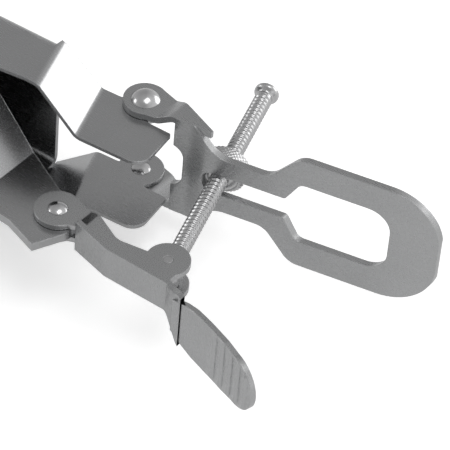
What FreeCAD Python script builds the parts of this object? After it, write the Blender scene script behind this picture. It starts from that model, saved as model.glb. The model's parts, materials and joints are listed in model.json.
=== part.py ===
"""Bivalve speculum with a yoked loop handle, a folding thumb lever and an opening screw.

All sizes are in millimetres. The working frame has its origin at the main hinge, X along
the closed blades towards the handles, Y across the two blades and Z along every pivot.
The finished pieces are moved together, so that the origin is the middle of the bottom of
the bounding box, as the instrument lies on its side.
"""
import FreeCAD, Part
import math
import os
from FreeCAD import Vector

# Sheet metal
BLADE_SHEET = 0.9
HANDLE_SHEET = 1.5
LEVER_SHEET = 1.2
BEND_RADIUS = 2.0

# Running clearances
SIDE_PLAY = 0.12
PIN_PLAY = 0.04
STOP_GAP = 0.25
SWIVEL_PLAY = 0.30

# Blades: the stations run from the tip to the main hinge
BLADE_LENGTH = 80.0
TIP_HALF_WIDTH = 12.0
BELL_HALF_WIDTH = 17.9
TIP_CORNER = 7.0
BELL_CORNER = 3.0
WAIST_CORNER = 4.3
TIP_DEPTH = 7.2
HINGE_DEPTH = 12.2
RIM_DEPTH = 15.6
RIM_X = 38.5
CLOSED_SPREAD = 14.0
EDGE_GAP = 0.35
HINGE_LOBE = 6.5
MEETING_X = 9.5
TIP_ROUND = 8.0

# Upper arms, joggled in from the bell to the handle
ARM_ANGLE = 8.6
ARM_HALF_SPACING = 9.6
ARM_FAR_EDGE = -0.9
ARM_NEAR_EDGE = -14.8
ARM_END_NEAR_EDGE = -16.0
ARM_END = 9.0
ARM_TIP_DROP = -4.6
ARM_LOBE = 4.9
ARM_CORNER = 3.5
JOGGLE_SKEW = 20.0
JOGGLE_START = 41.0
JOGGLE_LENGTH = 9.6

# Handle rivets
HANDLE_PIVOT_X = 58.0
HANDLE_PIVOT_Y = 19.5
RIVET_RADIUS = 1.5
RIVET_HEAD_RADIUS = 3.1
RIVET_HEAD_HEIGHT = 1.6
RIVET_TAIL_RADIUS = 2.1
RIVET_TAIL_HEIGHT = 0.7

# Main hinge rivets
HINGE_RIVET_RADIUS = 1.6
HINGE_HEAD_RADIUS = 3.0
HINGE_HEAD_HEIGHT = 1.3

# Handle plate: yoke, keyhole slot and loop
EAR_RADIUS = 4.7
YOKE_HALF_WIDTH = 13.0
YOKE_START_X = 67.2
YOKE_START_Y = 18.3
YOKE_BEND_X = 71.0
YOKE_BEND_Y = 19.2
SLOT_BEND_X = 75.0
PLATE_ANGLE = 15.7
PLATE_BEND_RADIUS = 8.0
WAIST_X = 84.5
WAIST_HALF_WIDTH = 7.2
LOOP_START_X = 94.4
LOOP_HALF_WIDTH = 14.7
LOOP_END_X = 124.5
LOOP_CORNER = 11.5
SLOT_HALF_WIDTH = 2.7
SLOT_START_X = 74.4
SLOT_END_X = 92.3
WINDOW_START_X = 95.2
WINDOW_HALF_WIDTH = 8.0
WINDOW_END_X = 114.4
WINDOW_CORNER = 5.0

# Lower blade's tail, pinched to the middle plane, and the thumb lever's rivet
PINCH_START_X = 27.0
PINCH_END_X = 45.0
FOLD_END_X = 54.0
TAIL_FAR_EDGE = 0.1
TAIL_NEAR_EDGE = -17.9
LEVER_PIVOT_X = 60.1
LEVER_PIVOT_Y = -9.8
TAIL_LOBE = 5.2
TAIL_HEEL_X = 62.1
TAIL_HEEL_Y = -20.0
LEVER_RIVET_RADIUS = 1.2
LEVER_HEAD_RADIUS = 2.1
LEVER_HEAD_HEIGHT = 0.8

# Thumb lever
LEVER_HALF_WIDTH = 3.9
LEVER_EAR_RADIUS = 5.0
WEB_START_X = 66.4
WEB_START_Y = -11.0
WEB_LOW_X = 75.5
WEB_LOW_Y = -12.6
CHANNEL_END_X = 90.5
CHANNEL_END_Y = -11.6
TONGUE_RADIUS = 4.6
THUMB_HALF_WIDTH = 6.65
THUMB_BEND_X = 97.5
THUMB_BEND_Y = -15.6
THUMB_END_X = 121.5
THUMB_END_Y = -24.2
THUMB_CORNER = 3.0
RIDGE_COUNT = 5
RIDGE_PITCH = 3.6
RIDGE_HEIGHT = 0.7
RIDGE_START = 6.5

# Opening screw and its swivel
SCREW_PIVOT_X = 86.6
SCREW_PIVOT_Y = -7.0
SCREW_ANGLE = 108.5
SCREW_LENGTH = 58.5
SCREW_RADIUS = 2.0
THREAD_DEPTH = 0.32
SHANK_LENGTH = 5.0
EYE_RADIUS = 2.6
END_STOP_RADIUS = 2.7
END_STOP_HEIGHT = 1.6
SWIVEL_PIN_RADIUS = 1.0

# Thumb nut
NUT_RADIUS = 5.0
NUT_HEIGHT = 3.4
NUT_FLUTES = 30
FLUTE_DEPTH = 0.3
FLUTE_WIDTH = 0.7
COLLAR_RADIUS = 3.7
COLLAR_HEIGHT = 1.6
COLLAR_DOME = 1.1
NUT_BORE_PLAY = 0.05

Z_AXIS = Vector(0, 0, 1)
FAR = 200.0


def at(x, y, z=0.0):
    """A point of the working frame."""
    return Vector(x, y, z)


def turned(length, angle):
    """A vector of the given length at an angle in the XY plane, in degrees."""
    return at(length * math.cos(math.radians(angle)), length * math.sin(math.radians(angle)))


def corner_arc(before, corner, after, radius):
    """The two tangent points and the middle of the round at a polyline's corner."""
    into = (before - corner).normalize()
    out = (after - corner).normalize()
    half = into.getAngle(out) / 2
    setback = radius / math.tan(half)
    middle = (into + out).normalize() * (radius / math.sin(half) - radius)
    return corner + into * setback, corner + middle, corner + out * setback


def rounded_edges(points, radii, closed):
    """Straight runs joined by tangent arcs. A radius of zero leaves a sharp corner."""
    count = len(points)
    edges = []
    ends = []
    for index, (point, radius) in enumerate(zip(points, radii)):
        if radius <= 0 or (not closed and index in (0, count - 1)):
            ends.append((point, None, point))
            continue
        ends.append(corner_arc(points[index - 1], point, points[(index + 1) % count], radius))
    for index, (enter, middle, leave) in enumerate(ends):
        if middle is not None:
            edges.append(Part.Arc(enter, middle, leave).toShape())
        if index == count - 1 and not closed:
            continue
        following = ends[(index + 1) % count][0]
        if leave.distanceToPoint(following) > 1e-6:
            edges.append(Part.LineSegment(leave, following).toShape())
    return edges


def outline(points, radii, closed=True):
    """A closed wire through points with rounded corners."""
    return Part.Wire(Part.__sortEdges__(rounded_edges(points, radii, closed)))


def prism(wire, direction):
    """A solid made by sweeping a closed wire's face along a vector."""
    return Part.Face(wire).extrude(direction)


def flat_prism(points, radii, low, high):
    """A solid with a rounded XY outline between two heights."""
    lifted = [at(point.x, point.y, low) for point in points]
    return prism(outline(lifted, radii), at(0, 0, high - low))


def plan_prism(points, radii):
    """A tall solid with an outline in X and Z, through all Y."""
    placed = [at(point.x, -FAR, point.y) for point in points]
    return prism(outline(placed, radii), at(0, 2 * FAR, 0))


def bent_sheet(points, thickness, radius, plane_up, sweep):
    """A sheet of even thickness along a polyline, bent round at each corner, then swept.

    plane_up is the unit normal of the plane that holds the polyline.
    """
    sides = []
    for side in (1, -1):
        shifted = []
        radii = []
        for index, point in enumerate(points):
            before = points[max(index - 1, 0)]
            after = points[min(index + 1, len(points) - 1)]
            into = (point - before) if index > 0 else (after - point)
            out = (after - point) if index < len(points) - 1 else into
            into = Vector(into).normalize()
            out = Vector(out).normalize()
            normal = plane_up.cross(into + out).normalize()
            stretch = normal.dot(plane_up.cross(into).normalize())
            shifted.append(point + normal * (side * thickness / 2 / stretch))
            inward = into.cross(out).dot(plane_up) * side > 0
            radii.append(radius - thickness / 2 if inward else radius + thickness / 2)
        sides.append(rounded_edges(shifted, radii, False))
        if side == 1:
            left = shifted
        else:
            right = shifted
    caps = [
        Part.LineSegment(left[0], right[0]).toShape(),
        Part.LineSegment(left[-1], right[-1]).toShape(),
    ]
    wire = Part.Wire(Part.__sortEdges__(sides[0] + sides[1] + caps))
    return prism(wire, sweep)


def cylinder(radius, centre, axis, length):
    """A round bar from a centre along an axis."""
    return Part.makeCylinder(radius, length, centre, axis)


def one_solid(shape):
    """The shape with its seams merged."""
    return shape.removeSplitter()


def trough_section(x, half_width, top, corner, bottom):
    """A closed round-cornered arch across X, open side down."""
    points = [
        at(x, bottom, -half_width),
        at(x, top, -half_width),
        at(x, top, half_width),
        at(x, bottom, half_width),
    ]
    return outline(points, [0, corner, corner, 0])


def blade_half_width(x):
    """Half the blade's width at a place forward of the hinge, parallel beside the lobes."""
    share = max(0.0, (-x - MEETING_X) / (BLADE_LENGTH - MEETING_X))
    return BELL_HALF_WIDTH + (TIP_HALF_WIDTH - BELL_HALF_WIDTH) * math.sin(share * math.pi / 2)


def blade_top(x):
    """Height of the blade's back forward of the hinge, at the photographed spread."""
    share = -x / BLADE_LENGTH
    depth = HINGE_DEPTH + (TIP_DEPTH - HINGE_DEPTH) * share
    rise = -x * math.tan(math.radians(CLOSED_SPREAD / 2))
    return depth + rise


def trough(stations, sheet, side_gap):
    """An open-bottomed shell through stations of x, half width, top and corner."""
    bottom = -3 * HINGE_LOBE
    outer = [trough_section(x, w - side_gap, t, r, bottom) for x, w, t, r in stations]
    inner = [
        trough_section(x, w - side_gap - sheet, t - sheet, max(r - sheet, 0.3), bottom - 1)
        for x, w, t, r in stations
    ]
    return Part.makeLoft(outer, True, True).cut(Part.makeLoft(inner, True, True))


def front_stations():
    """Stations from the tip to the hinge."""
    steps = 5
    places = [-BLADE_LENGTH + (BLADE_LENGTH - MEETING_X) * step / steps for step in range(steps + 1)]
    rows = []
    for x in places + [0.0]:
        corner = WAIST_CORNER + (TIP_CORNER - WAIST_CORNER) * -x / BLADE_LENGTH
        rows.append((x, blade_half_width(x), blade_top(x), corner))
    return rows


def front_mask(sign):
    """Side view of what is kept of a blade forward of the hinge, above its meeting edge."""
    slope = math.tan(math.radians(CLOSED_SPREAD / 2))
    meet = MEETING_X
    points = [
        at(-BLADE_LENGTH - 1, sign * ((BLADE_LENGTH + 1) * slope + EDGE_GAP)),
        at(-meet, sign * (meet * slope + EDGE_GAP)),
        at(0, sign * (EDGE_GAP - HINGE_LOBE)),
        at(0, sign * FAR),
        at(-BLADE_LENGTH - 1, sign * FAR),
    ]
    return flat_prism(points, [0, 3.0, 0, 0, 0], -FAR, FAR)


def tip_mask(gap):
    """Plan view that rounds the blade's tip."""
    wide = BELL_HALF_WIDTH + 1
    points = [
        at(-BLADE_LENGTH, -TIP_HALF_WIDTH + gap),
        at(-BLADE_LENGTH, TIP_HALF_WIDTH - gap),
        at(-BLADE_LENGTH + TIP_HALF_WIDTH * 2, wide),
        at(FAR, wide),
        at(FAR, -wide),
        at(-BLADE_LENGTH + TIP_HALF_WIDTH * 2, -wide),
    ]
    return plan_prism(points, [TIP_ROUND, TIP_ROUND, 0, 0, 0, 0])


def arm_point(along, across):
    """A point of the upper arm's own frame, whose origin is the handle's pivot."""
    pivot = at(HANDLE_PIVOT_X, HANDLE_PIVOT_Y)
    return pivot + turned(along, ARM_ANGLE) + turned(across, ARM_ANGLE + 90)


def arm_outline(top):
    """Side view of the bell's flange, up to a height, and the arm that goes on from it."""
    pivot = at(HANDLE_PIVOT_X, HANDLE_PIVOT_Y)
    hinge_side = [
        at(0, -HINGE_LOBE),
        at(6.0, -HINGE_LOBE + 0.6),
        arm_point(-20.0, ARM_NEAR_EDGE),
        arm_point(-5.5, ARM_END_NEAR_EDGE),
        arm_point(ARM_END, ARM_END_NEAR_EDGE),
        arm_point(ARM_END, ARM_TIP_DROP),
        arm_point(ARM_LOBE * 0.7, ARM_TIP_DROP + 0.2),
        arm_point(0, 0),
        arm_point(-5.5, ARM_FAR_EDGE),
        at(RIM_X, RIM_DEPTH),
        at(RIM_X, top),
        at(0, top),
    ]
    radii = [0, 4.0, 8.0, 6.0, ARM_CORNER, 0.5, 0, 0, 0, 0, 0, 0]
    body = flat_prism(hinge_side, radii, -FAR, FAR)
    lobe = cylinder(ARM_LOBE, pivot - at(0, 0, FAR), Z_AXIS, 2 * FAR)
    return body.fuse(lobe)


def upper_arm():
    """The joggled strap on the +Z side, before its side view is cut."""
    across = turned(1, JOGGLE_SKEW)
    start = at(JOGGLE_START, 9.0)
    level = BELL_HALF_WIDTH - BLADE_SHEET / 2
    low = ARM_HALF_SPACING - BLADE_SHEET / 2
    profile = [
        start - across * 12 + at(0, 0, level),
        start + at(0, 0, level),
        start + across * JOGGLE_LENGTH + at(0, 0, low),
        start + across * (JOGGLE_LENGTH + 40) + at(0, 0, low),
    ]
    along = turned(1, JOGGLE_SKEW - 90)
    shifted = [point - along * 40 for point in profile]
    strap = bent_sheet(shifted, BLADE_SHEET, BEND_RADIUS, along, along * 80)
    keep = Part.makeBox(FAR, 2 * FAR, FAR, at(JOGGLE_START - 10, -FAR, 0))
    return strap.common(keep)


def mirrored_z(shape):
    """The shape's mirror image in the middle plane."""
    return shape.mirror(at(0, 0), Z_AXIS)


def hinge_holes(radius):
    """Bars for the main hinge's holes through both sides."""
    return cylinder(radius, at(0, 0, -FAR), Z_AXIS, 2 * FAR)


def make_upper_blade():
    """The far blade with its bell and its two joggled arms."""
    front = trough(front_stations(), BLADE_SHEET, 0.0)
    front = front.common(front_mask(1)).common(tip_mask(0.0))
    rear = trough(
        [
            (0, BELL_HALF_WIDTH, HINGE_DEPTH, WAIST_CORNER),
            (RIM_X, BELL_HALF_WIDTH, RIM_DEPTH, BELL_CORNER),
        ],
        BLADE_SHEET,
        0.0,
    )
    rear = rear.common(arm_outline(FAR))
    strap = upper_arm().common(arm_outline(RIM_DEPTH - BELL_CORNER))
    blade = front.fuse([rear, strap, mirrored_z(strap)])
    pivot_bar = cylinder(
        RIVET_RADIUS + PIN_PLAY, at(HANDLE_PIVOT_X, HANDLE_PIVOT_Y, -FAR), Z_AXIS, 2 * FAR
    )
    lobe = cylinder(HINGE_LOBE, at(0, 0, -BELL_HALF_WIDTH), Z_AXIS, 2 * BELL_HALF_WIDTH)
    core_half = BELL_HALF_WIDTH - BLADE_SHEET
    lobe = lobe.cut(cylinder(2 * HINGE_LOBE, at(0, 0, -core_half), Z_AXIS, 2 * core_half))
    blade = blade.fuse(lobe)
    return one_solid(blade.cut([pivot_bar, hinge_holes(HINGE_RIVET_RADIUS + PIN_PLAY)]))


def flip_y(shape):
    """The shape's mirror image in the plane between the blades."""
    return shape.mirror(at(0, 0), Vector(0, 1, 0))


def tail_outline():
    """Side view of the lower blade aft of the hinge, as flipped to the upper side."""
    points = [
        at(0, -HINGE_LOBE),
        at(6.0, -HINGE_LOBE + 0.8),
        at(PINCH_START_X, -1.8),
        at(PINCH_END_X, -TAIL_FAR_EDGE),
        at(LEVER_PIVOT_X - 4, -LEVER_PIVOT_Y - TAIL_LOBE),
        at(LEVER_PIVOT_X + TAIL_LOBE, -LEVER_PIVOT_Y - TAIL_LOBE),
        at(LEVER_PIVOT_X + TAIL_LOBE, -LEVER_PIVOT_Y + 3),
        at(TAIL_HEEL_X, -TAIL_HEEL_Y),
        at(FOLD_END_X, FAR),
        at(0, FAR),
    ]
    radii = [0, 4.0, 10.0, 8.0, 3.0, TAIL_LOBE - 0.3, 3.0, 1.0, 0, 0]
    return flat_prism(points, radii, -FAR, FAR)


def make_lower_blade():
    """The near blade, whose sides run in to a doubled tail on the middle plane."""
    gap = BLADE_SHEET + SIDE_PLAY
    front = trough(front_stations(), BLADE_SHEET, gap)
    front = front.common(front_mask(1)).common(tip_mask(gap))
    rear_rows = [
        (0, BELL_HALF_WIDTH, HINGE_DEPTH, WAIST_CORNER),
        (PINCH_START_X, BELL_HALF_WIDTH, HINGE_DEPTH + 1.4, BELL_CORNER),
    ]
    rear = trough(rear_rows, BLADE_SHEET, gap)
    tail_half = BLADE_SHEET + 0.1
    bottom = -3 * HINGE_LOBE
    start_half = BELL_HALF_WIDTH - gap
    start_top = HINGE_DEPTH + 1.4
    outer = Part.makeLoft(
        [
            trough_section(PINCH_START_X, start_half, start_top, BELL_CORNER, bottom),
            trough_section(PINCH_END_X, tail_half, -TAIL_NEAR_EDGE, tail_half * 0.8, bottom),
        ],
        True,
        True,
    )
    inner = Part.makeLoft(
        [
            trough_section(
                PINCH_START_X,
                start_half - BLADE_SHEET * 1.25,
                start_top - BLADE_SHEET,
                BELL_CORNER - BLADE_SHEET,
                bottom - 1,
            ),
            trough_section(
                PINCH_END_X - 1.0, 0.35, -TAIL_NEAR_EDGE - BLADE_SHEET * 2, 0.2, bottom - 1
            ),
        ],
        True,
        True,
    )
    pinch = outer.cut(inner)
    tail = flat_prism(
        [
            at(PINCH_END_X, -3 * HINGE_LOBE),
            at(FAR, -3 * HINGE_LOBE),
            at(FAR, -TAIL_HEEL_Y + 5),
            at(FOLD_END_X, -TAIL_NEAR_EDGE),
            at(PINCH_END_X, -TAIL_NEAR_EDGE),
        ],
        [0, 0, 0, 0, 0],
        -tail_half,
        tail_half,
    )
    heel = flat_prism(
        [
            at(FOLD_END_X - 1, -TAIL_NEAR_EDGE - 4),
            at(FOLD_END_X - 1, -TAIL_NEAR_EDGE),
            at(FOLD_END_X, -TAIL_NEAR_EDGE),
            at(TAIL_HEEL_X, -TAIL_HEEL_Y),
            at(FAR, -TAIL_HEEL_Y),
            at(FAR, -TAIL_NEAR_EDGE - 4),
        ],
        [0, 0, 0, 0, 0, 0],
        -tail_half,
        tail_half,
    )
    rest = rear.fuse([pinch, tail, heel]).common(tail_outline())
    lobe_half = BELL_HALF_WIDTH - gap
    lobe = cylinder(HINGE_LOBE, at(0, 0, -lobe_half), Z_AXIS, 2 * lobe_half)
    core_half = lobe_half - BLADE_SHEET
    lobe = lobe.cut(cylinder(2 * HINGE_LOBE, at(0, 0, -core_half), Z_AXIS, 2 * core_half))
    blade = flip_y(front.fuse([rest, lobe]))
    bar = cylinder(
        LEVER_RIVET_RADIUS + PIN_PLAY, at(LEVER_PIVOT_X, LEVER_PIVOT_Y, -FAR), Z_AXIS, 2 * FAR
    )
    return one_solid(blade.cut([bar, hinge_holes(HINGE_RIVET_RADIUS + PIN_PLAY)]))


def dome(radius, height, centre, direction):
    """A rivet's domed head standing on a centre."""
    sphere_radius = (radius ** 2 + height ** 2) / (2 * height)
    ball = Part.makeSphere(sphere_radius, centre + direction * (height - sphere_radius))
    return ball.common(cylinder(radius + 1, centre, direction, height + 1))


def make_rivet(centre, radius, outside, inside, head_radius, head_height, tail_radius, tail_height):
    """A rivet along +Z from an inside height to an outside height, head outside."""
    body = cylinder(radius, centre + at(0, 0, inside), Z_AXIS, outside - inside)
    head = dome(head_radius, head_height, centre + at(0, 0, outside), Z_AXIS)
    tail = dome(tail_radius, tail_height, centre + at(0, 0, inside), Z_AXIS * -1)
    return one_solid(body.fuse([head, tail]))


def make_handle_rivet():
    """The rivet that joins the +Z ear to the +Z arm."""
    outside = ARM_HALF_SPACING + SIDE_PLAY + HANDLE_SHEET
    inside = ARM_HALF_SPACING - BLADE_SHEET
    return make_rivet(
        at(HANDLE_PIVOT_X, HANDLE_PIVOT_Y),
        RIVET_RADIUS,
        outside,
        inside,
        RIVET_HEAD_RADIUS,
        RIVET_HEAD_HEIGHT,
        RIVET_TAIL_RADIUS,
        RIVET_TAIL_HEIGHT,
    )


def make_hinge_rivet():
    """The main hinge's rivet on the +Z side."""
    inside = BELL_HALF_WIDTH - 2 * BLADE_SHEET - 2 * SIDE_PLAY
    return make_rivet(
        at(0, 0),
        HINGE_RIVET_RADIUS,
        BELL_HALF_WIDTH,
        inside,
        HINGE_HEAD_RADIUS,
        HINGE_HEAD_HEIGHT,
        RIVET_TAIL_RADIUS + 0.3,
        RIVET_TAIL_HEIGHT,
    )


def plate_line():
    """The handle plate's middle line in side view."""
    start = at(YOKE_START_X, YOKE_START_Y)
    yoke = at(YOKE_BEND_X, YOKE_BEND_Y)
    bend = at(SLOT_BEND_X, YOKE_BEND_Y)
    end = bend + turned((LOOP_END_X - SLOT_BEND_X) / math.cos(math.radians(PLATE_ANGLE)), PLATE_ANGLE)
    return [start, yoke, bend, end]


def loop_outline():
    """Plan view of the yoke plate, the waist and the loop."""
    half = [
        (YOKE_START_X - 1, YOKE_HALF_WIDTH),
        (YOKE_BEND_X + 1, YOKE_HALF_WIDTH),
        (WAIST_X - 7, WAIST_HALF_WIDTH),
        (WAIST_X + 4, WAIST_HALF_WIDTH),
        (LOOP_START_X, LOOP_HALF_WIDTH),
        (LOOP_END_X, LOOP_HALF_WIDTH),
    ]
    radii = [0, 2.0, 6.0, 4.0, 4.0, LOOP_CORNER]
    points = [at(x, w) for x, w in half] + [at(x, -w) for x, w in reversed(half)]
    return plan_prism(points, radii + radii[::-1])


def keyhole():
    """Plan view of the slot's narrow part and its window."""
    half = [
        (SLOT_START_X, SLOT_HALF_WIDTH),
        (SLOT_END_X, SLOT_HALF_WIDTH),
        (WINDOW_START_X, WINDOW_HALF_WIDTH),
        (WINDOW_END_X, WINDOW_HALF_WIDTH),
    ]
    radii = [SLOT_HALF_WIDTH * 0.98, 0.8, 2.0, WINDOW_CORNER]
    points = [at(x, w) for x, w in half] + [at(x, -w) for x, w in reversed(half)]
    return plan_prism(points, radii + radii[::-1])


def handle_ear():
    """The +Z ear: a disc on the rivet, stepped out and folded down into the plate."""
    pivot = at(HANDLE_PIVOT_X, HANDLE_PIVOT_Y)
    inner = ARM_HALF_SPACING + SIDE_PLAY + HANDLE_SHEET / 2
    outer = YOKE_HALF_WIDTH - HANDLE_SHEET / 2
    profile = [
        at(HANDLE_PIVOT_X - 10, 0, inner),
        at(HANDLE_PIVOT_X + 5.4, 0, inner),
        at(HANDLE_PIVOT_X + 8.4, 0, outer),
        at(YOKE_BEND_X + 6, 0, outer),
    ]
    down = Vector(0, -1, 0)
    sheet = bent_sheet([p - down * 40 for p in profile], HANDLE_SHEET, BEND_RADIUS, down, down * 80)
    strip = [
        at(HANDLE_PIVOT_X, HANDLE_PIVOT_Y + EAR_RADIUS),
        at(YOKE_START_X - 2, HANDLE_PIVOT_Y + EAR_RADIUS * 0.75),
        at(YOKE_BEND_X + 4.5, YOKE_BEND_Y + HANDLE_SHEET / 2),
        at(YOKE_BEND_X + 4.5, YOKE_BEND_Y),
        at(YOKE_BEND_X, YOKE_BEND_Y - HANDLE_SHEET * 0.4),
        at(YOKE_START_X, YOKE_START_Y - HANDLE_SHEET * 0.4),
        at(HANDLE_PIVOT_X, HANDLE_PIVOT_Y - EAR_RADIUS),
    ]
    side = flat_prism(strip, [0, 3.0, 0, 0, 0, 0, 0], 0, FAR)
    side = side.fuse(cylinder(EAR_RADIUS, pivot, Z_AXIS, FAR))
    return sheet.common(side)


def make_handle():
    """The yoke, its two ears and the loop, one bent sheet."""
    line = plate_line()
    lowered = [point - at(0, 0, FAR) for point in line]
    plate = bent_sheet(lowered, HANDLE_SHEET, PLATE_BEND_RADIUS, Z_AXIS, at(0, 0, 2 * FAR))
    plate = plate.common(loop_outline()).cut(keyhole())
    ear = handle_ear()
    handle = plate.fuse([ear, mirrored_z(ear)])
    hollow = cylinder(
        RIVET_RADIUS + PIN_PLAY, at(HANDLE_PIVOT_X, HANDLE_PIVOT_Y, -FAR), Z_AXIS, 2 * FAR
    )
    notch = plan_prism(
        [
            at(YOKE_START_X - 5, -ARM_HALF_SPACING + 2),
            at(YOKE_START_X - 5, ARM_HALF_SPACING - 2),
            at(YOKE_START_X + 2.5, ARM_HALF_SPACING - 5),
            at(YOKE_START_X + 2.5, -ARM_HALF_SPACING + 5),
        ],
        [0, 0, 3.0, 3.0],
    )
    return one_solid(handle.cut([hollow, notch]))


def lever_line():
    """The lever's middle line in side view, from the ears to the thumb end."""
    return [
        at(WEB_START_X, WEB_START_Y),
        at(WEB_LOW_X, WEB_LOW_Y),
        at(CHANNEL_END_X, CHANNEL_END_Y),
        at(THUMB_BEND_X, THUMB_BEND_Y),
        at(THUMB_END_X, THUMB_END_Y),
    ]


def lever_plan():
    """Plan view of the web and the wide thumb plate."""
    half = [
        (WEB_START_X - 1, LEVER_HALF_WIDTH),
        (CHANNEL_END_X + 1, LEVER_HALF_WIDTH),
        (THUMB_BEND_X - 1.5, THUMB_HALF_WIDTH),
        (THUMB_END_X, THUMB_HALF_WIDTH),
    ]
    radii = [0, 2.0, 3.0, THUMB_CORNER]
    points = [at(x, w) for x, w in half] + [at(x, -w) for x, w in reversed(half)]
    return plan_prism(points, radii + radii[::-1])


def lever_ear():
    """The +Z ear beside the tail, stepped out to the web's edge and on to the tongue."""
    tail_half = BLADE_SHEET + 0.1
    inner = tail_half + SIDE_PLAY + LEVER_SHEET / 2
    outer = LEVER_HALF_WIDTH - LEVER_SHEET / 2
    profile = [
        at(LEVER_PIVOT_X - 10, 0, inner),
        at(LEVER_PIVOT_X + 5.8, 0, inner),
        at(LEVER_PIVOT_X + 8.6, 0, outer),
        at(CHANNEL_END_X + 6, 0, outer),
    ]
    down = Vector(0, -1, 0)
    sheet = bent_sheet([p - down * 40 for p in profile], LEVER_SHEET, BEND_RADIUS, down, down * 80)
    pivot = at(LEVER_PIVOT_X, LEVER_PIVOT_Y)
    tongue = at(SCREW_PIVOT_X, SCREW_PIVOT_Y)
    strip = [
        at(LEVER_PIVOT_X, LEVER_PIVOT_Y + LEVER_EAR_RADIUS),
        at(WEB_START_X + 1, LEVER_PIVOT_Y + LEVER_EAR_RADIUS * 0.7),
        at(WEB_LOW_X, WEB_LOW_Y + 3.0),
        at(SCREW_PIVOT_X - TONGUE_RADIUS, SCREW_PIVOT_Y - 1),
        at(SCREW_PIVOT_X, SCREW_PIVOT_Y),
        at(CHANNEL_END_X, SCREW_PIVOT_Y - TONGUE_RADIUS * 0.6),
        at(CHANNEL_END_X, CHANNEL_END_Y),
        at(WEB_LOW_X, WEB_LOW_Y),
        at(WEB_START_X, WEB_START_Y),
        at(LEVER_PIVOT_X, LEVER_PIVOT_Y - LEVER_EAR_RADIUS),
    ]
    side = flat_prism(strip, [0, 3.0, 4.0, 2.0, 0, 0, 0, 0, 0, 0], 0, FAR)
    side = side.fuse(
        [
            cylinder(LEVER_EAR_RADIUS, pivot, Z_AXIS, FAR),
            cylinder(TONGUE_RADIUS, tongue, Z_AXIS, FAR),
        ]
    )
    return sheet.common(side)


def thumb_ridges():
    """Sawtooth ridges across the thumb plate's outer face."""
    start = at(THUMB_BEND_X, THUMB_BEND_Y)
    along = (at(THUMB_END_X, THUMB_END_Y) - start).normalize()
    outward = Vector(along.y, -along.x, 0)
    face = start + outward * (LEVER_SHEET / 2 - 0.05)
    ridges = []
    for index in range(RIDGE_COUNT):
        foot = face + along * (RIDGE_START + index * RIDGE_PITCH)
        points = [foot, foot + along * 2.2, foot + along * 2.0 + outward * RIDGE_HEIGHT]
        half = THUMB_HALF_WIDTH - 0.8
        ridges.append(flat_prism(points, [0, 0, 0], -half, half))
    return ridges


def make_thumb_lever():
    """The lever: two ears, a web, the screw's folded channel and the ridged thumb plate."""
    lowered = [point - at(0, 0, FAR) for point in lever_line()]
    sheet = bent_sheet(lowered, LEVER_SHEET, BEND_RADIUS, Z_AXIS, at(0, 0, 2 * FAR))
    web = sheet.common(lever_plan())
    ear = lever_ear()
    lever = web.fuse([ear, mirrored_z(ear)] + thumb_ridges())
    rivet_hole = cylinder(
        LEVER_RIVET_RADIUS + PIN_PLAY, at(LEVER_PIVOT_X, LEVER_PIVOT_Y, -FAR), Z_AXIS, 2 * FAR
    )
    pin_hole = cylinder(
        SWIVEL_PIN_RADIUS + PIN_PLAY, at(SCREW_PIVOT_X, SCREW_PIVOT_Y, -FAR), Z_AXIS, 2 * FAR
    )
    return one_solid(lever.cut([rivet_hole, pin_hole]))


def make_lever_rivet():
    """The small rivet through both ears and the doubled tail."""
    half = BLADE_SHEET + 0.1 + SIDE_PLAY + LEVER_SHEET
    return make_rivet(
        at(LEVER_PIVOT_X, LEVER_PIVOT_Y),
        LEVER_RIVET_RADIUS,
        half,
        -half,
        LEVER_HEAD_RADIUS,
        LEVER_HEAD_HEIGHT,
        LEVER_HEAD_RADIUS,
        LEVER_HEAD_HEIGHT,
    )


def along_screw(distance):
    """A point of the screw's axis, measured from its swivel."""
    return at(SCREW_PIVOT_X, SCREW_PIVOT_Y) + turned(distance, SCREW_ANGLE)


def turned_profile(rows):
    """A solid turned about the screw's axis from rows of distance and radius."""
    axis = turned(1, SCREW_ANGLE)
    side = turned(1, SCREW_ANGLE - 90)
    points = [along_screw(distance) + side * radius for distance, radius in rows]
    points = [along_screw(rows[0][0])] + points + [along_screw(rows[-1][0])]
    clean = [points[0]]
    for point in points[1:]:
        if point.distanceToPoint(clean[-1]) > 1e-6:
            clean.append(point)
    wire = Part.makePolygon(clean + [clean[0]])
    return Part.Face(wire).revolve(along_screw(0), axis, 360)


def make_screw():
    """The opening screw: a swivel eye, the thread's outer form and the flared stop."""
    root = SCREW_RADIUS - THREAD_DEPTH
    thread_end = SCREW_LENGTH - END_STOP_HEIGHT
    rows = [(0.5, root), (SHANK_LENGTH, root), (SHANK_LENGTH + THREAD_DEPTH, SCREW_RADIUS)]
    rows.append((thread_end, SCREW_RADIUS))
    rows.append((thread_end + END_STOP_HEIGHT * 0.5, END_STOP_RADIUS))
    rows.append((SCREW_LENGTH, END_STOP_RADIUS))
    shaft = turned_profile(rows)
    eye_half = LEVER_HALF_WIDTH - LEVER_SHEET - SWIVEL_PLAY
    centre = at(SCREW_PIVOT_X, SCREW_PIVOT_Y, -eye_half)
    eye = cylinder(EYE_RADIUS, centre, Z_AXIS, 2 * eye_half)
    hole = cylinder(SWIVEL_PIN_RADIUS + PIN_PLAY, centre, Z_AXIS, 2 * eye_half)
    return one_solid(shaft.fuse(eye).cut(hole))


def make_swivel_pin():
    """The pin across the lever's channel that the screw's eye turns on."""
    centre = at(SCREW_PIVOT_X, SCREW_PIVOT_Y, -LEVER_HALF_WIDTH)
    return cylinder(SWIVEL_PIN_RADIUS, centre, Z_AXIS, 2 * LEVER_HALF_WIDTH)


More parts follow.
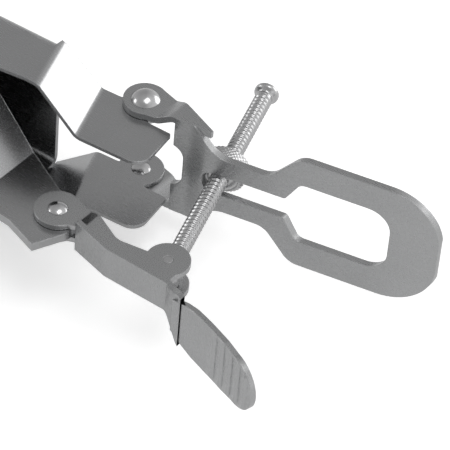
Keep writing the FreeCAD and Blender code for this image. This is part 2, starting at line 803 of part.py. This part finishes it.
def nut_seat():
    """Distance from the swivel to the plate's far face, along the screw."""
    bend = at(SLOT_BEND_X, YOKE_BEND_Y)
    normal = turned(1, PLATE_ANGLE + 90)
    reach = (bend - at(SCREW_PIVOT_X, SCREW_PIVOT_Y)).dot(normal) + HANDLE_SHEET / 2
    return reach / turned(1, SCREW_ANGLE).dot(normal)


def make_thumb_nut():
    """The fluted nut with a smooth collar whose domed foot sits over the slot."""
    foot = nut_seat() + STOP_GAP
    bore = SCREW_RADIUS + NUT_BORE_PLAY
    crown = foot + COLLAR_HEIGHT
    top = crown + NUT_HEIGHT
    rows = [
        (foot, bore + 0.3),
        (foot + COLLAR_DOME * 0.3, COLLAR_RADIUS - 0.8),
        (foot + COLLAR_DOME, COLLAR_RADIUS),
        (crown, COLLAR_RADIUS),
        (crown, NUT_RADIUS - 0.5),
        (crown + 0.5, NUT_RADIUS),
        (top - 0.5, NUT_RADIUS),
        (top, NUT_RADIUS - 0.5),
    ]
    nut = turned_profile(rows)
    axis = turned(1, SCREW_ANGLE)
    flutes = []
    side = turned(1, SCREW_ANGLE - 90)
    base = along_screw(crown - 0.5)
    rim = base + side * (NUT_RADIUS + 0.05)
    corners = [
        base + side * (NUT_RADIUS - FLUTE_DEPTH),
        rim + Z_AXIS * (FLUTE_WIDTH / 2),
        rim - Z_AXIS * (FLUTE_WIDTH / 2),
    ]
    groove = prism(Part.makePolygon(corners + corners[:1]), axis * (NUT_HEIGHT + 1))
    for index in range(NUT_FLUTES):
        flute = groove.copy()
        flute.rotate(along_screw(0), axis, 360.0 * index / NUT_FLUTES)
        flutes.append(flute)
    hole = cylinder(bore, along_screw(foot - 1), axis, top - foot + 2)
    return one_solid(nut.cut(flutes + [hole]))


def build():
    """Every piece by name, in the working frame."""
    handle_rivet = make_handle_rivet()
    hinge_rivet = make_hinge_rivet()
    return {
        "upper_blade": make_upper_blade(),
        "lower_blade": make_lower_blade(),
        "hinge_rivet_left": hinge_rivet,
        "hinge_rivet_right": mirrored_z(hinge_rivet),
        "handle_loop": make_handle(),
        "handle_rivet_left": handle_rivet,
        "handle_rivet_right": mirrored_z(handle_rivet),
        "thumb_lever": make_thumb_lever(),
        "lever_rivet": make_lever_rivet(),
        "opening_screw": make_screw(),
        "swivel_pin": make_swivel_pin(),
        "thumb_nut": make_thumb_nut(),
    }


def main():
    """Build the pieces, move them to the shared origin and write them."""
    pieces = build()
    box = Part.makeCompound(list(pieces.values())).BoundBox
    shift = at(-(box.XMin + box.XMax) / 2, -(box.YMin + box.YMax) / 2, -box.ZMin)
    os.makedirs("parts", exist_ok=True)
    for name, shape in pieces.items():
        shape.translate(shift)
        shape.exportStep("parts/" + name + ".step")
        print(name, len(shape.Solids), round(shape.Volume, 2), shape.isValid())
    print("shift", round(shift.x, 4), round(shift.y, 4), round(shift.z, 4))
    print("nut seat", round(nut_seat(), 4))


main()
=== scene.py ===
"""Looks of the bivalve speculum: satin steel, soft studio light and the photograph's view."""

import json
import math

import bmesh
import bpy
from mathutils import Matrix, Vector

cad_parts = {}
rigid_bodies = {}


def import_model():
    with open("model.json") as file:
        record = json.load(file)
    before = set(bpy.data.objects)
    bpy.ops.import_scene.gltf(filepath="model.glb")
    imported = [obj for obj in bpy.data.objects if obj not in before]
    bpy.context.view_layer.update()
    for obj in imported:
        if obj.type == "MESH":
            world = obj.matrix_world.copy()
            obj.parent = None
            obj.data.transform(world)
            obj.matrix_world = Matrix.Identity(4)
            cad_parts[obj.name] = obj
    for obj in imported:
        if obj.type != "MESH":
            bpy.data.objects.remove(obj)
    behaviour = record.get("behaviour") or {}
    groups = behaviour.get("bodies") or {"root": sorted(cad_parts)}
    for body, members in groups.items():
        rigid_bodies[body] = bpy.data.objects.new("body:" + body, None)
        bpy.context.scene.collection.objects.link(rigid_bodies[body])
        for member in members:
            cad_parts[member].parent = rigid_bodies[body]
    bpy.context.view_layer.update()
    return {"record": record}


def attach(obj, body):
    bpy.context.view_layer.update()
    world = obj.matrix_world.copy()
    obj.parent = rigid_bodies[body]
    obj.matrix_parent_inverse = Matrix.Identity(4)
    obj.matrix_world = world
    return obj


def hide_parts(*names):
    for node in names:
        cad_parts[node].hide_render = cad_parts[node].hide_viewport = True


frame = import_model()

MM = 0.001

# The picture is 450 by 450 pixels
IMAGE_WIDTH = 450

# Camera, as turned and raised from a view along +Y
VIEW_YAW = math.radians(35.4)
VIEW_RAISE = math.radians(45.0)
VIEW_ROLL = math.radians(5.3)
VIEW_SCALE = 4.9 / MM
VIEW_DISTANCE = 0.70
SENSOR = 36.0

# The point at the picture's centre, measured from the main hinge
AIM_FROM_HINGE = Vector((84.1, 14.8, -4.2)) * MM

# Steel
STEEL = (0.45, 0.453, 0.458)
BRIGHT_STEEL = (0.55, 0.55, 0.555)
EDGE_SOFTENING = 0.25 * MM

# Screw thread, with distances along the screw from its swivel
SCREW_RADIUS = 2.0 * MM
THREAD_PITCH = 1.1 * MM
THREAD_DEPTH = 0.30 * MM
THREAD_START = 5.0 * MM
THREAD_END = 56.4 * MM
THREAD_INSET = 0.02 * MM
THREAD_RINGS = 10
SCREW_SEGMENTS = 40
SHANK_OVERLAP = 1.2 * MM
EYE_OVERLAP = 0.5 * MM

# Flared stop: distance past the thread and radius, in millimetres
STOP_BEAD = [
    (0.35, 2.05),
    (0.6, 2.5),
    (0.9, 2.66),
    (1.25, 2.7),
    (1.55, 2.66),
    (1.85, 2.4),
    (2.02, 1.9),
    (2.1, 1.0),
]

# Thumb nut, with its collar as distance past the foot and radius in millimetres
NUT_RADIUS = 5.0 * MM
NUT_HEIGHT = 3.4 * MM
NUT_SEGMENTS = 272
COLLAR_ROWS = [(0.0, 2.3), (0.33, 2.9), (0.8, 3.5), (1.1, 3.7)]
CROWN_RADIUS = 4.6 * MM
TOP_RADIUS = 4.5 * MM
MOUTH_RADIUS = 2.4 * MM
BORE_RADIUS = 2.05 * MM
BORE_DROP = 0.3 * MM
KNURL_TURNS = 34
KNURL_DEPTH = 0.16 * MM
KNURL_LEAD = 0.95 * MM
KNURL_RINGS = 36
KNURL_START = 0.25 * MM
KNURL_LENGTH = 2.9 * MM

# Thumb plate: its middle line and half widths, measured from the main hinge
THUMB_START = Vector((94.6, -14.7, 0.0)) * MM
THUMB_TIP = Vector((120.6, -21.8, 0.0)) * MM
THUMB_SHEET = 1.2 * MM
THUMB_CUT_X = 97.0 * MM
THUMB_WIDTHS = [(0.0, 4.3), (0.06, 4.9), (0.14, 5.8), (0.25, 6.5), (0.4, 6.65), (0.62, 6.6), (0.75, 6.2)]
THUMB_ROUND_FROM = 0.75
THUMB_ROUND_POWER = 2.2
THUMB_REACH = 0.9995
THUMB_BOW = 0.6 * MM
THUMB_ROWS = 150
THUMB_COLUMNS = 16
RIDGE_FROM = 0.42
RIDGE_TO = 0.93
RIDGE_COUNT = 5
RIDGE_CREST = 0.8
RIDGE_HEIGHT = 0.45 * MM

# Floor and studio walls, as stops of position and grey level
FLOOR_HALF = 3.0
FLOOR_HEIGHT = -0.3 * MM
FLOOR_LIFT = 0.42
WALL_SIDEWAYS = [(0.0, 0.75), (0.25, 0.55), (0.5, 0.50), (0.72, 0.80), (0.9, 1.0)]
WALL_UPWARD = [(0.0, 1.0), (0.45, 0.85), (0.72, 0.80), (0.95, 1.0)]


def joint_value(name, key):
    """A place or a direction that the record gives for a joint, in the shared frame."""
    for joint in frame["record"]["behaviour"]["joints"]:
        if joint["name"] == name:
            return Vector(joint[key])
    raise ValueError(name)


HINGE = joint_value("blade_open", "pos_m")
SWIVEL = joint_value("screw_swivel", "pos_m")
SCREW_WAY = joint_value("nut_travel", "axis").normalized()


def new_material(name):
    """A node material and its Principled shader."""
    material = bpy.data.materials.new(name)
    material.use_nodes = True
    return material, material.node_tree, material.node_tree.nodes["Principled BSDF"]


def add_node(tree, kind, **inputs):
    """A node with its inputs set by name."""
    node = tree.nodes.new(kind)
    for key, value in inputs.items():
        node.inputs[key.replace("_", " ")].default_value = value
    return node


def ramp_node(tree, source, stops):
    """A colour ramp fed by a value, with stops of position and grey level or colour."""
    node = tree.nodes.new("ShaderNodeValToRGB")
    tree.links.new(source, node.inputs["Fac"])
    while len(node.color_ramp.elements) < len(stops):
        node.color_ramp.elements.new(0.5)
    for element, (place, level) in zip(node.color_ramp.elements, stops):
        element.position = place
        colour = level if isinstance(level, tuple) else (level, level, level)
        element.color = (*colour, 1.0)
    return node


def steel(name, colour, roughness, spread, grain_size, grain_depth, grain_stretch):
    """Satin stainless steel: stretched grain, uneven tint and softened edges."""
    material, tree, shader = new_material(name)
    shader.inputs["Metallic"].default_value = 1.0
    place = tree.nodes.new("ShaderNodeTexCoord")
    stretch = tree.nodes.new("ShaderNodeMapping")
    stretch.inputs["Scale"].default_value = grain_stretch
    tree.links.new(place.outputs["Object"], stretch.inputs["Vector"])
    grain = add_node(tree, "ShaderNodeTexNoise", Scale=grain_size, Detail=6.0, Roughness=0.6)
    tree.links.new(stretch.outputs["Vector"], grain.inputs["Vector"])
    cloud = add_node(tree, "ShaderNodeTexNoise", Scale=90.0, Detail=3.0, Roughness=0.5)
    tree.links.new(place.outputs["Object"], cloud.inputs["Vector"])
    dark = tuple(channel * 0.94 for channel in colour)
    tint = ramp_node(tree, cloud.outputs["Fac"], [(0.3, dark), (0.7, colour)])
    tree.links.new(tint.outputs["Color"], shader.inputs["Base Color"])
    low, high = roughness - spread, roughness + spread
    satin = ramp_node(tree, grain.outputs["Fac"], [(0.3, low), (0.7, high)])
    tree.links.new(satin.outputs["Color"], shader.inputs["Roughness"])
    bump = add_node(tree, "ShaderNodeBump", Strength=grain_depth, Distance=0.00002)
    tree.links.new(grain.outputs["Fac"], bump.inputs["Height"])
    edge = add_node(tree, "ShaderNodeBevel", Radius=EDGE_SOFTENING)
    tree.links.new(edge.outputs["Normal"], bump.inputs["Normal"])
    tree.links.new(bump.outputs["Normal"], shader.inputs["Normal"])
    return material


def make_materials():
    """The material of each slot."""
    along = (1.0, 9.0, 9.0)
    across = (9.0, 9.0, 1.0)
    even = (3.0, 3.0, 3.0)
    return {
        "blade_steel": steel("blade_satin", STEEL, 0.26, 0.03, 600.0, 0.10, along),
        "handle_steel": steel("handle_satin", STEEL, 0.28, 0.04, 600.0, 0.12, along),
        "lever_steel": steel("lever_satin", STEEL, 0.28, 0.05, 600.0, 0.15, across),
        "rivet_steel": steel("rivet_bright", BRIGHT_STEEL, 0.20, 0.05, 900.0, 0.5, even),
        "screw_steel": steel("screw_bright", BRIGHT_STEEL, 0.24, 0.05, 900.0, 0.4, even),
        "nut_steel": steel("nut_bright", BRIGHT_STEEL, 0.22, 0.05, 900.0, 0.4, even),
    }


def dress_nodes(materials):
    """Give each node's object the finish of its slot."""
    for part in frame["record"]["subparts"]:
        obj = bpy.data.objects[part["node"]]
        material = materials[part["material_slot"]]
        if not obj.material_slots:
            obj.data.materials.append(material)
        for slot in obj.material_slots:
            slot.material = material


def add_piece(name, mesh, body, slot_name, materials, *nodes):
    """A new piece that rides on a body and stands for nodes of the frame."""
    piece = bpy.data.objects.new(name, mesh)
    bpy.context.scene.collection.objects.link(piece)
    mesh.materials.append(materials[slot_name])
    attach(piece, body)
    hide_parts(*nodes)
    return piece


def turned_mesh(name, rows, segments):
    """A mesh turned about the screw's axis; each row holds a distance and a radius at an angle."""
    side = Vector((0, 0, 1))
    other = SCREW_WAY.cross(side)
    verts = []
    for distance, radius_at in rows:
        for step in range(segments):
            angle = 2 * math.pi * step / segments
            outward = side * math.cos(angle) + other * math.sin(angle)
            verts.append(SWIVEL + SCREW_WAY * distance + outward * radius_at(angle, distance))
    faces = []
    for row in range(len(rows) - 1):
        for step in range(segments):
            after = (step + 1) % segments
            near, far = row * segments, (row + 1) * segments
            faces.append((near + step, near + after, far + after, far + step))
    faces.append(tuple(reversed(range(segments))))
    faces.append(tuple(range((len(rows) - 1) * segments, len(rows) * segments)))
    mesh = bpy.data.meshes.new(name)
    mesh.from_pydata(verts, [], faces)
    mesh.update()
    set_outward(mesh)
    for face in mesh.polygons:
        face.use_smooth = len(face.vertices) == 4
    return mesh


def set_outward(mesh):
    """Turn all the faces outward."""
    work = bmesh.new()
    work.from_mesh(mesh)
    bmesh.ops.recalc_face_normals(work, faces=work.faces)
    work.to_mesh(mesh)
    work.free()


def kept_side(node, name, point, normal):
    """A copy of a node's mesh with what lies beyond a plane cut away and the cut closed."""
    work = bmesh.new()
    work.from_mesh(bpy.data.objects[node].data)
    everything = list(work.verts) + list(work.edges) + list(work.faces)
    cut = bmesh.ops.bisect_plane(
        work, geom=everything, plane_co=point, plane_no=normal, clear_outer=True
    )
    rim = [item for item in cut["geom_cut"] if isinstance(item, bmesh.types.BMEdge)]
    bmesh.ops.holes_fill(work, edges=rim)
    mesh = bpy.data.meshes.new(name)
    work.to_mesh(mesh)
    work.free()
    return mesh


def thread_radius(angle, distance):
    """The thread's rounded crest and root at a place on the screw, run out at both ends."""
    phase = distance / THREAD_PITCH - angle / (2 * math.pi)
    wave = 0.5 + 0.5 * math.cos(2 * math.pi * phase)
    run = min(1.0, (distance - THREAD_START) / THREAD_PITCH, (THREAD_END - distance) / THREAD_PITCH)
    crest = SCREW_RADIUS - THREAD_INSET
    return crest - THREAD_DEPTH * (1.0 - wave * max(run, 0.0))


def plain(radius):
    """A radius that is the same at every angle."""
    return lambda angle, distance: radius


def make_screw(materials):
    """The threaded screw with its flared stop, and the swivel eye kept from the node."""
    rows = [(THREAD_START - SHANK_OVERLAP, plain(SCREW_RADIUS - THREAD_DEPTH - THREAD_INSET))]
    length = THREAD_END - THREAD_START
    count = int(length / THREAD_PITCH * THREAD_RINGS)
    for index in range(count + 1):
        rows.append((THREAD_START + length * index / count, thread_radius))
    for offset, radius in STOP_BEAD:
        rows.append((THREAD_END + offset * MM, plain(radius * MM)))
    thread = turned_mesh("screw_thread", rows, SCREW_SEGMENTS)
    add_piece("screw_thread", thread, "screw", "screw_steel", materials, "opening_screw")
    cut = SWIVEL + SCREW_WAY * (THREAD_START - EYE_OVERLAP)
    eye = kept_side("opening_screw", "screw_eye", cut, SCREW_WAY)
    add_piece("screw_eye", eye, "screw", "screw_steel", materials, "opening_screw")


def nut_span():
    """Distances along the screw at which the nut starts and ends."""
    vertices = bpy.data.objects["thumb_nut"].data.vertices
    along = [SCREW_WAY.dot(vert.co - SWIVEL) for vert in vertices]
    return min(along), max(along)


def knurl_radius(angle, distance):
    """The nut's outer radius with a crossed knurl."""
    lead = distance / KNURL_LEAD
    first = math.sin(KNURL_TURNS * angle / 2 + lead * math.pi)
    second = math.sin(KNURL_TURNS * angle / 2 - lead * math.pi)
    return NUT_RADIUS - KNURL_DEPTH + KNURL_DEPTH * (first * first * second * second) ** 0.5


def make_nut(materials):
    """The knurled thumb nut on its smooth collar."""
    foot, top = nut_span()
    crown = top - NUT_HEIGHT
    rows = [(foot + offset * MM, plain(radius * MM)) for offset, radius in COLLAR_ROWS]
    rows += [(crown, plain(COLLAR_ROWS[-1][1] * MM)), (crown, plain(CROWN_RADIUS))]
    for index in range(KNURL_RINGS + 1):
        rows.append((crown + KNURL_START + KNURL_LENGTH * index / KNURL_RINGS, knurl_radius))
    rows += [(top, plain(TOP_RADIUS)), (top, plain(MOUTH_RADIUS)), (top - BORE_DROP, plain(BORE_RADIUS))]
    nut = turned_mesh("knurled_nut", rows, NUT_SEGMENTS)
    add_piece("knurled_nut", nut, "nut", "nut_steel", materials, "thumb_nut")


def thumb_half_width(share):
    """Half the thumb plate's width at a share of its length."""
    if share >= THUMB_ROUND_FROM:
        over = (share - THUMB_ROUND_FROM) / (1.0 - THUMB_ROUND_FROM)
        return THUMB_WIDTHS[-1][1] * MM * max(0.0, 1.0 - over ** THUMB_ROUND_POWER) ** 0.5
    for (start, low), (end, high) in zip(THUMB_WIDTHS, THUMB_WIDTHS[1:]):
        if share <= end:
            blend = (share - start) / (end - start)
            return (low + (high - low) * blend) * MM
    return THUMB_WIDTHS[-1][1] * MM


def ridge_height(share):
    """How far the outer face stands out at a share of the plate's length: a sawtooth."""
    if not RIDGE_FROM < share < RIDGE_TO:
        return 0.0
    tooth = (share - RIDGE_FROM) / (RIDGE_TO - RIDGE_FROM) * RIDGE_COUNT % 1.0
    if tooth < RIDGE_CREST:
        return RIDGE_HEIGHT * tooth / RIDGE_CREST
    return RIDGE_HEIGHT * (1.0 - tooth) / (1.0 - RIDGE_CREST)


def thumb_mesh():
    """The leaf-shaped plate as two faces of rows and columns, joined round the edge."""
    along = THUMB_TIP - THUMB_START
    outward = Vector((along.y, -along.x, 0)).normalized()
    rows, columns = THUMB_ROWS, THUMB_COLUMNS
    outer, inner = [], []
    for row in range(rows + 1):
        share = THUMB_REACH * row / rows
        middle = HINGE + THUMB_START + along * share - outward * THUMB_BOW * 4 * share * (1 - share)
        half = thumb_half_width(share)
        for column in range(columns + 1):
            across = Vector((0, 0, half * (2 * column / columns - 1)))
            lift = ridge_height(share) if 0 < column < columns else 0.0
            outer.append(middle + across + outward * (THUMB_SHEET / 2 + lift))
            inner.append(middle + across - outward * THUMB_SHEET / 2)
    width = columns + 1
    total = len(outer)
    faces = []
    for row in range(rows):
        for column in range(columns):
            here = row * width + column
            faces.append((here, here + 1, here + width + 1, here + width))
            back = total + here
            faces.append((back, back + width, back + width + 1, back + 1))
        for here in (row * width, row * width + columns):
            faces.append((here, here + width, total + here + width, total + here))
    for column in range(columns):
        for here in (column, rows * width + column):
            faces.append((here, here + 1, total + here + 1, total + here))
    mesh = bpy.data.meshes.new("thumb_plate")
    mesh.from_pydata(outer + inner, [], faces)
    mesh.update()
    set_outward(mesh)
    return mesh


def make_thumb_plate(materials):
    """The thumb plate, and the rest of the lever kept from the node."""
    add_piece("thumb_plate", thumb_mesh(), "lower", "lever_steel", materials, "thumb_lever")
    cut = Vector((HINGE.x + THUMB_CUT_X, 0, 0))
    body = kept_side("thumb_lever", "lever_body", cut, Vector((1, 0, 0)))
    add_piece("lever_body", body, "lower", "lever_steel", materials, "thumb_lever")


def view_turn():
    """The camera's rotation: level right and raised back vectors, then the roll."""
    level = Matrix.Rotation(VIEW_YAW, 3, "Z") @ Matrix.Rotation(math.pi / 2 - VIEW_RAISE, 3, "X")
    return level @ Matrix.Rotation(VIEW_ROLL, 3, "Z")


def add_camera():
    """The camera at the photograph's viewing angle."""
    data = bpy.data.cameras.new("view")
    data.sensor_width = SENSOR
    data.lens = VIEW_SCALE * VIEW_DISTANCE / IMAGE_WIDTH * SENSOR
    data.clip_start = 0.01
    data.clip_end = 20.0
    camera = bpy.data.objects.new("view", data)
    turn = view_turn()
    aim = HINGE + AIM_FROM_HINGE
    camera.matrix_world = Matrix.Translation(aim + turn @ Vector((0, 0, VIEW_DISTANCE))) @ turn.to_4x4()
    bpy.context.scene.collection.objects.link(camera)
    bpy.context.scene.camera = camera
    return camera


def add_floor():
    """A wide pale floor that reads white and keeps the soft contact shadow."""
    signs = [(-1, -1), (1, -1), (1, 1), (-1, 1)]
    corners = [(x * FLOOR_HALF, y * FLOOR_HALF, FLOOR_HEIGHT) for x, y in signs]
    mesh = bpy.data.meshes.new("floor")
    mesh.from_pydata(corners, [], [(0, 1, 2, 3)])
    floor = bpy.data.objects.new("floor", mesh)
    bpy.context.scene.collection.objects.link(floor)
    material, tree, shader = new_material("floor_white")
    shader.inputs["Base Color"].default_value = (0.93, 0.93, 0.93, 1.0)
    shader.inputs["Roughness"].default_value = 0.9
    shader.inputs["Emission Strength"].default_value = 1.0
    path = tree.nodes.new("ShaderNodeLightPath")
    lift = ramp_node(tree, path.outputs["Is Camera Ray"], [(0.0, 0.0), (1.0, FLOOR_LIFT)])
    tree.links.new(lift.outputs["Color"], shader.inputs["Emission Color"])
    mesh.materials.append(material)
    return floor


def add_world():
    """White to the camera, and a grey studio with bright walls to everything else."""
    world = bpy.data.worlds.new("studio")
    world.use_nodes = True
    bpy.context.scene.world = world
    tree = world.node_tree
    back = tree.nodes["Background"]
    place = tree.nodes.new("ShaderNodeTexCoord")
    turn = tree.nodes.new("ShaderNodeMapping")
    turn.inputs["Rotation"].default_value = (0.0, 0.0, -VIEW_YAW)
    tree.links.new(place.outputs["Generated"], turn.inputs["Vector"])
    split = tree.nodes.new("ShaderNodeSeparateXYZ")
    tree.links.new(turn.outputs["Vector"], split.inputs["Vector"])
    right = add_math(tree, "MULTIPLY_ADD", split.outputs["X"], 0.5, 0.5)
    sideways = ramp_node(tree, right, WALL_SIDEWAYS)
    upward = ramp_node(tree, split.outputs["Z"], WALL_UPWARD)
    blend = tree.nodes.new("ShaderNodeMix")
    blend.data_type = "RGBA"
    blend.blend_type = "MULTIPLY"
    blend.inputs["Factor"].default_value = 1.0
    tree.links.new(sideways.outputs["Color"], blend.inputs["A"])
    tree.links.new(upward.outputs["Color"], blend.inputs["B"])
    path = tree.nodes.new("ShaderNodeLightPath")
    pick = tree.nodes.new("ShaderNodeMix")
    pick.data_type = "RGBA"
    tree.links.new(path.outputs["Is Camera Ray"], pick.inputs["Factor"])
    tree.links.new(blend.outputs["Result"], pick.inputs["A"])
    pick.inputs["B"].default_value = (1.0, 1.0, 1.0, 1.0)
    tree.links.new(pick.outputs["Result"], back.inputs["Color"])
    back.inputs["Strength"].default_value = 1.0


def add_math(tree, operation, source, second, third):
    """A maths node fed by one value, giving its output."""
    node = tree.nodes.new("ShaderNodeMath")
    node.operation = operation
    tree.links.new(source, node.inputs[0])
    node.inputs[1].default_value = second
    node.inputs[2].default_value = third
    return node.outputs["Value"]


def add_softbox(name, direction, distance, width, height, brightness):
    """A rectangular lamp of even brightness that faces the object, by the camera's yaw."""
    data = bpy.data.lights.new(name, "AREA")
    data.shape = "RECTANGLE"
    data.size = width
    data.size_y = height
    data.energy = brightness * math.pi * width * height
    lamp = bpy.data.objects.new(name, data)
    aim = HINGE + AIM_FROM_HINGE
    toward = (Matrix.Rotation(VIEW_YAW, 3, "Z") @ Vector(direction)).normalized()
    facing = toward.to_track_quat("Z", "Y").to_matrix().to_4x4()
    lamp.matrix_world = Matrix.Translation(aim + toward * distance) @ facing
    bpy.context.scene.collection.objects.link(lamp)


def add_lights():
    """A box low at the right and behind, a narrow one overhead and one at the left."""
    add_softbox("rim_box", (0.82, 0.48, 0.31), 0.9, 0.55, 0.45, 2.4)
    add_softbox("top_box", (0.15, -0.15, 1.0), 0.9, 0.5, 0.35, 2.6)
    add_softbox("left_box", (-1.0, 0.1, 0.35), 0.9, 0.3, 0.45, 2.2)


def main():
    """Dress the frame and set the stage."""
    add_camera()
    materials = make_materials()
    dress_nodes(materials)
    make_screw(materials)
    make_nut(materials)
    make_thumb_plate(materials)
    add_floor()
    add_world()
    add_lights()
    bpy.context.scene.view_settings.view_transform = "Standard"


main()
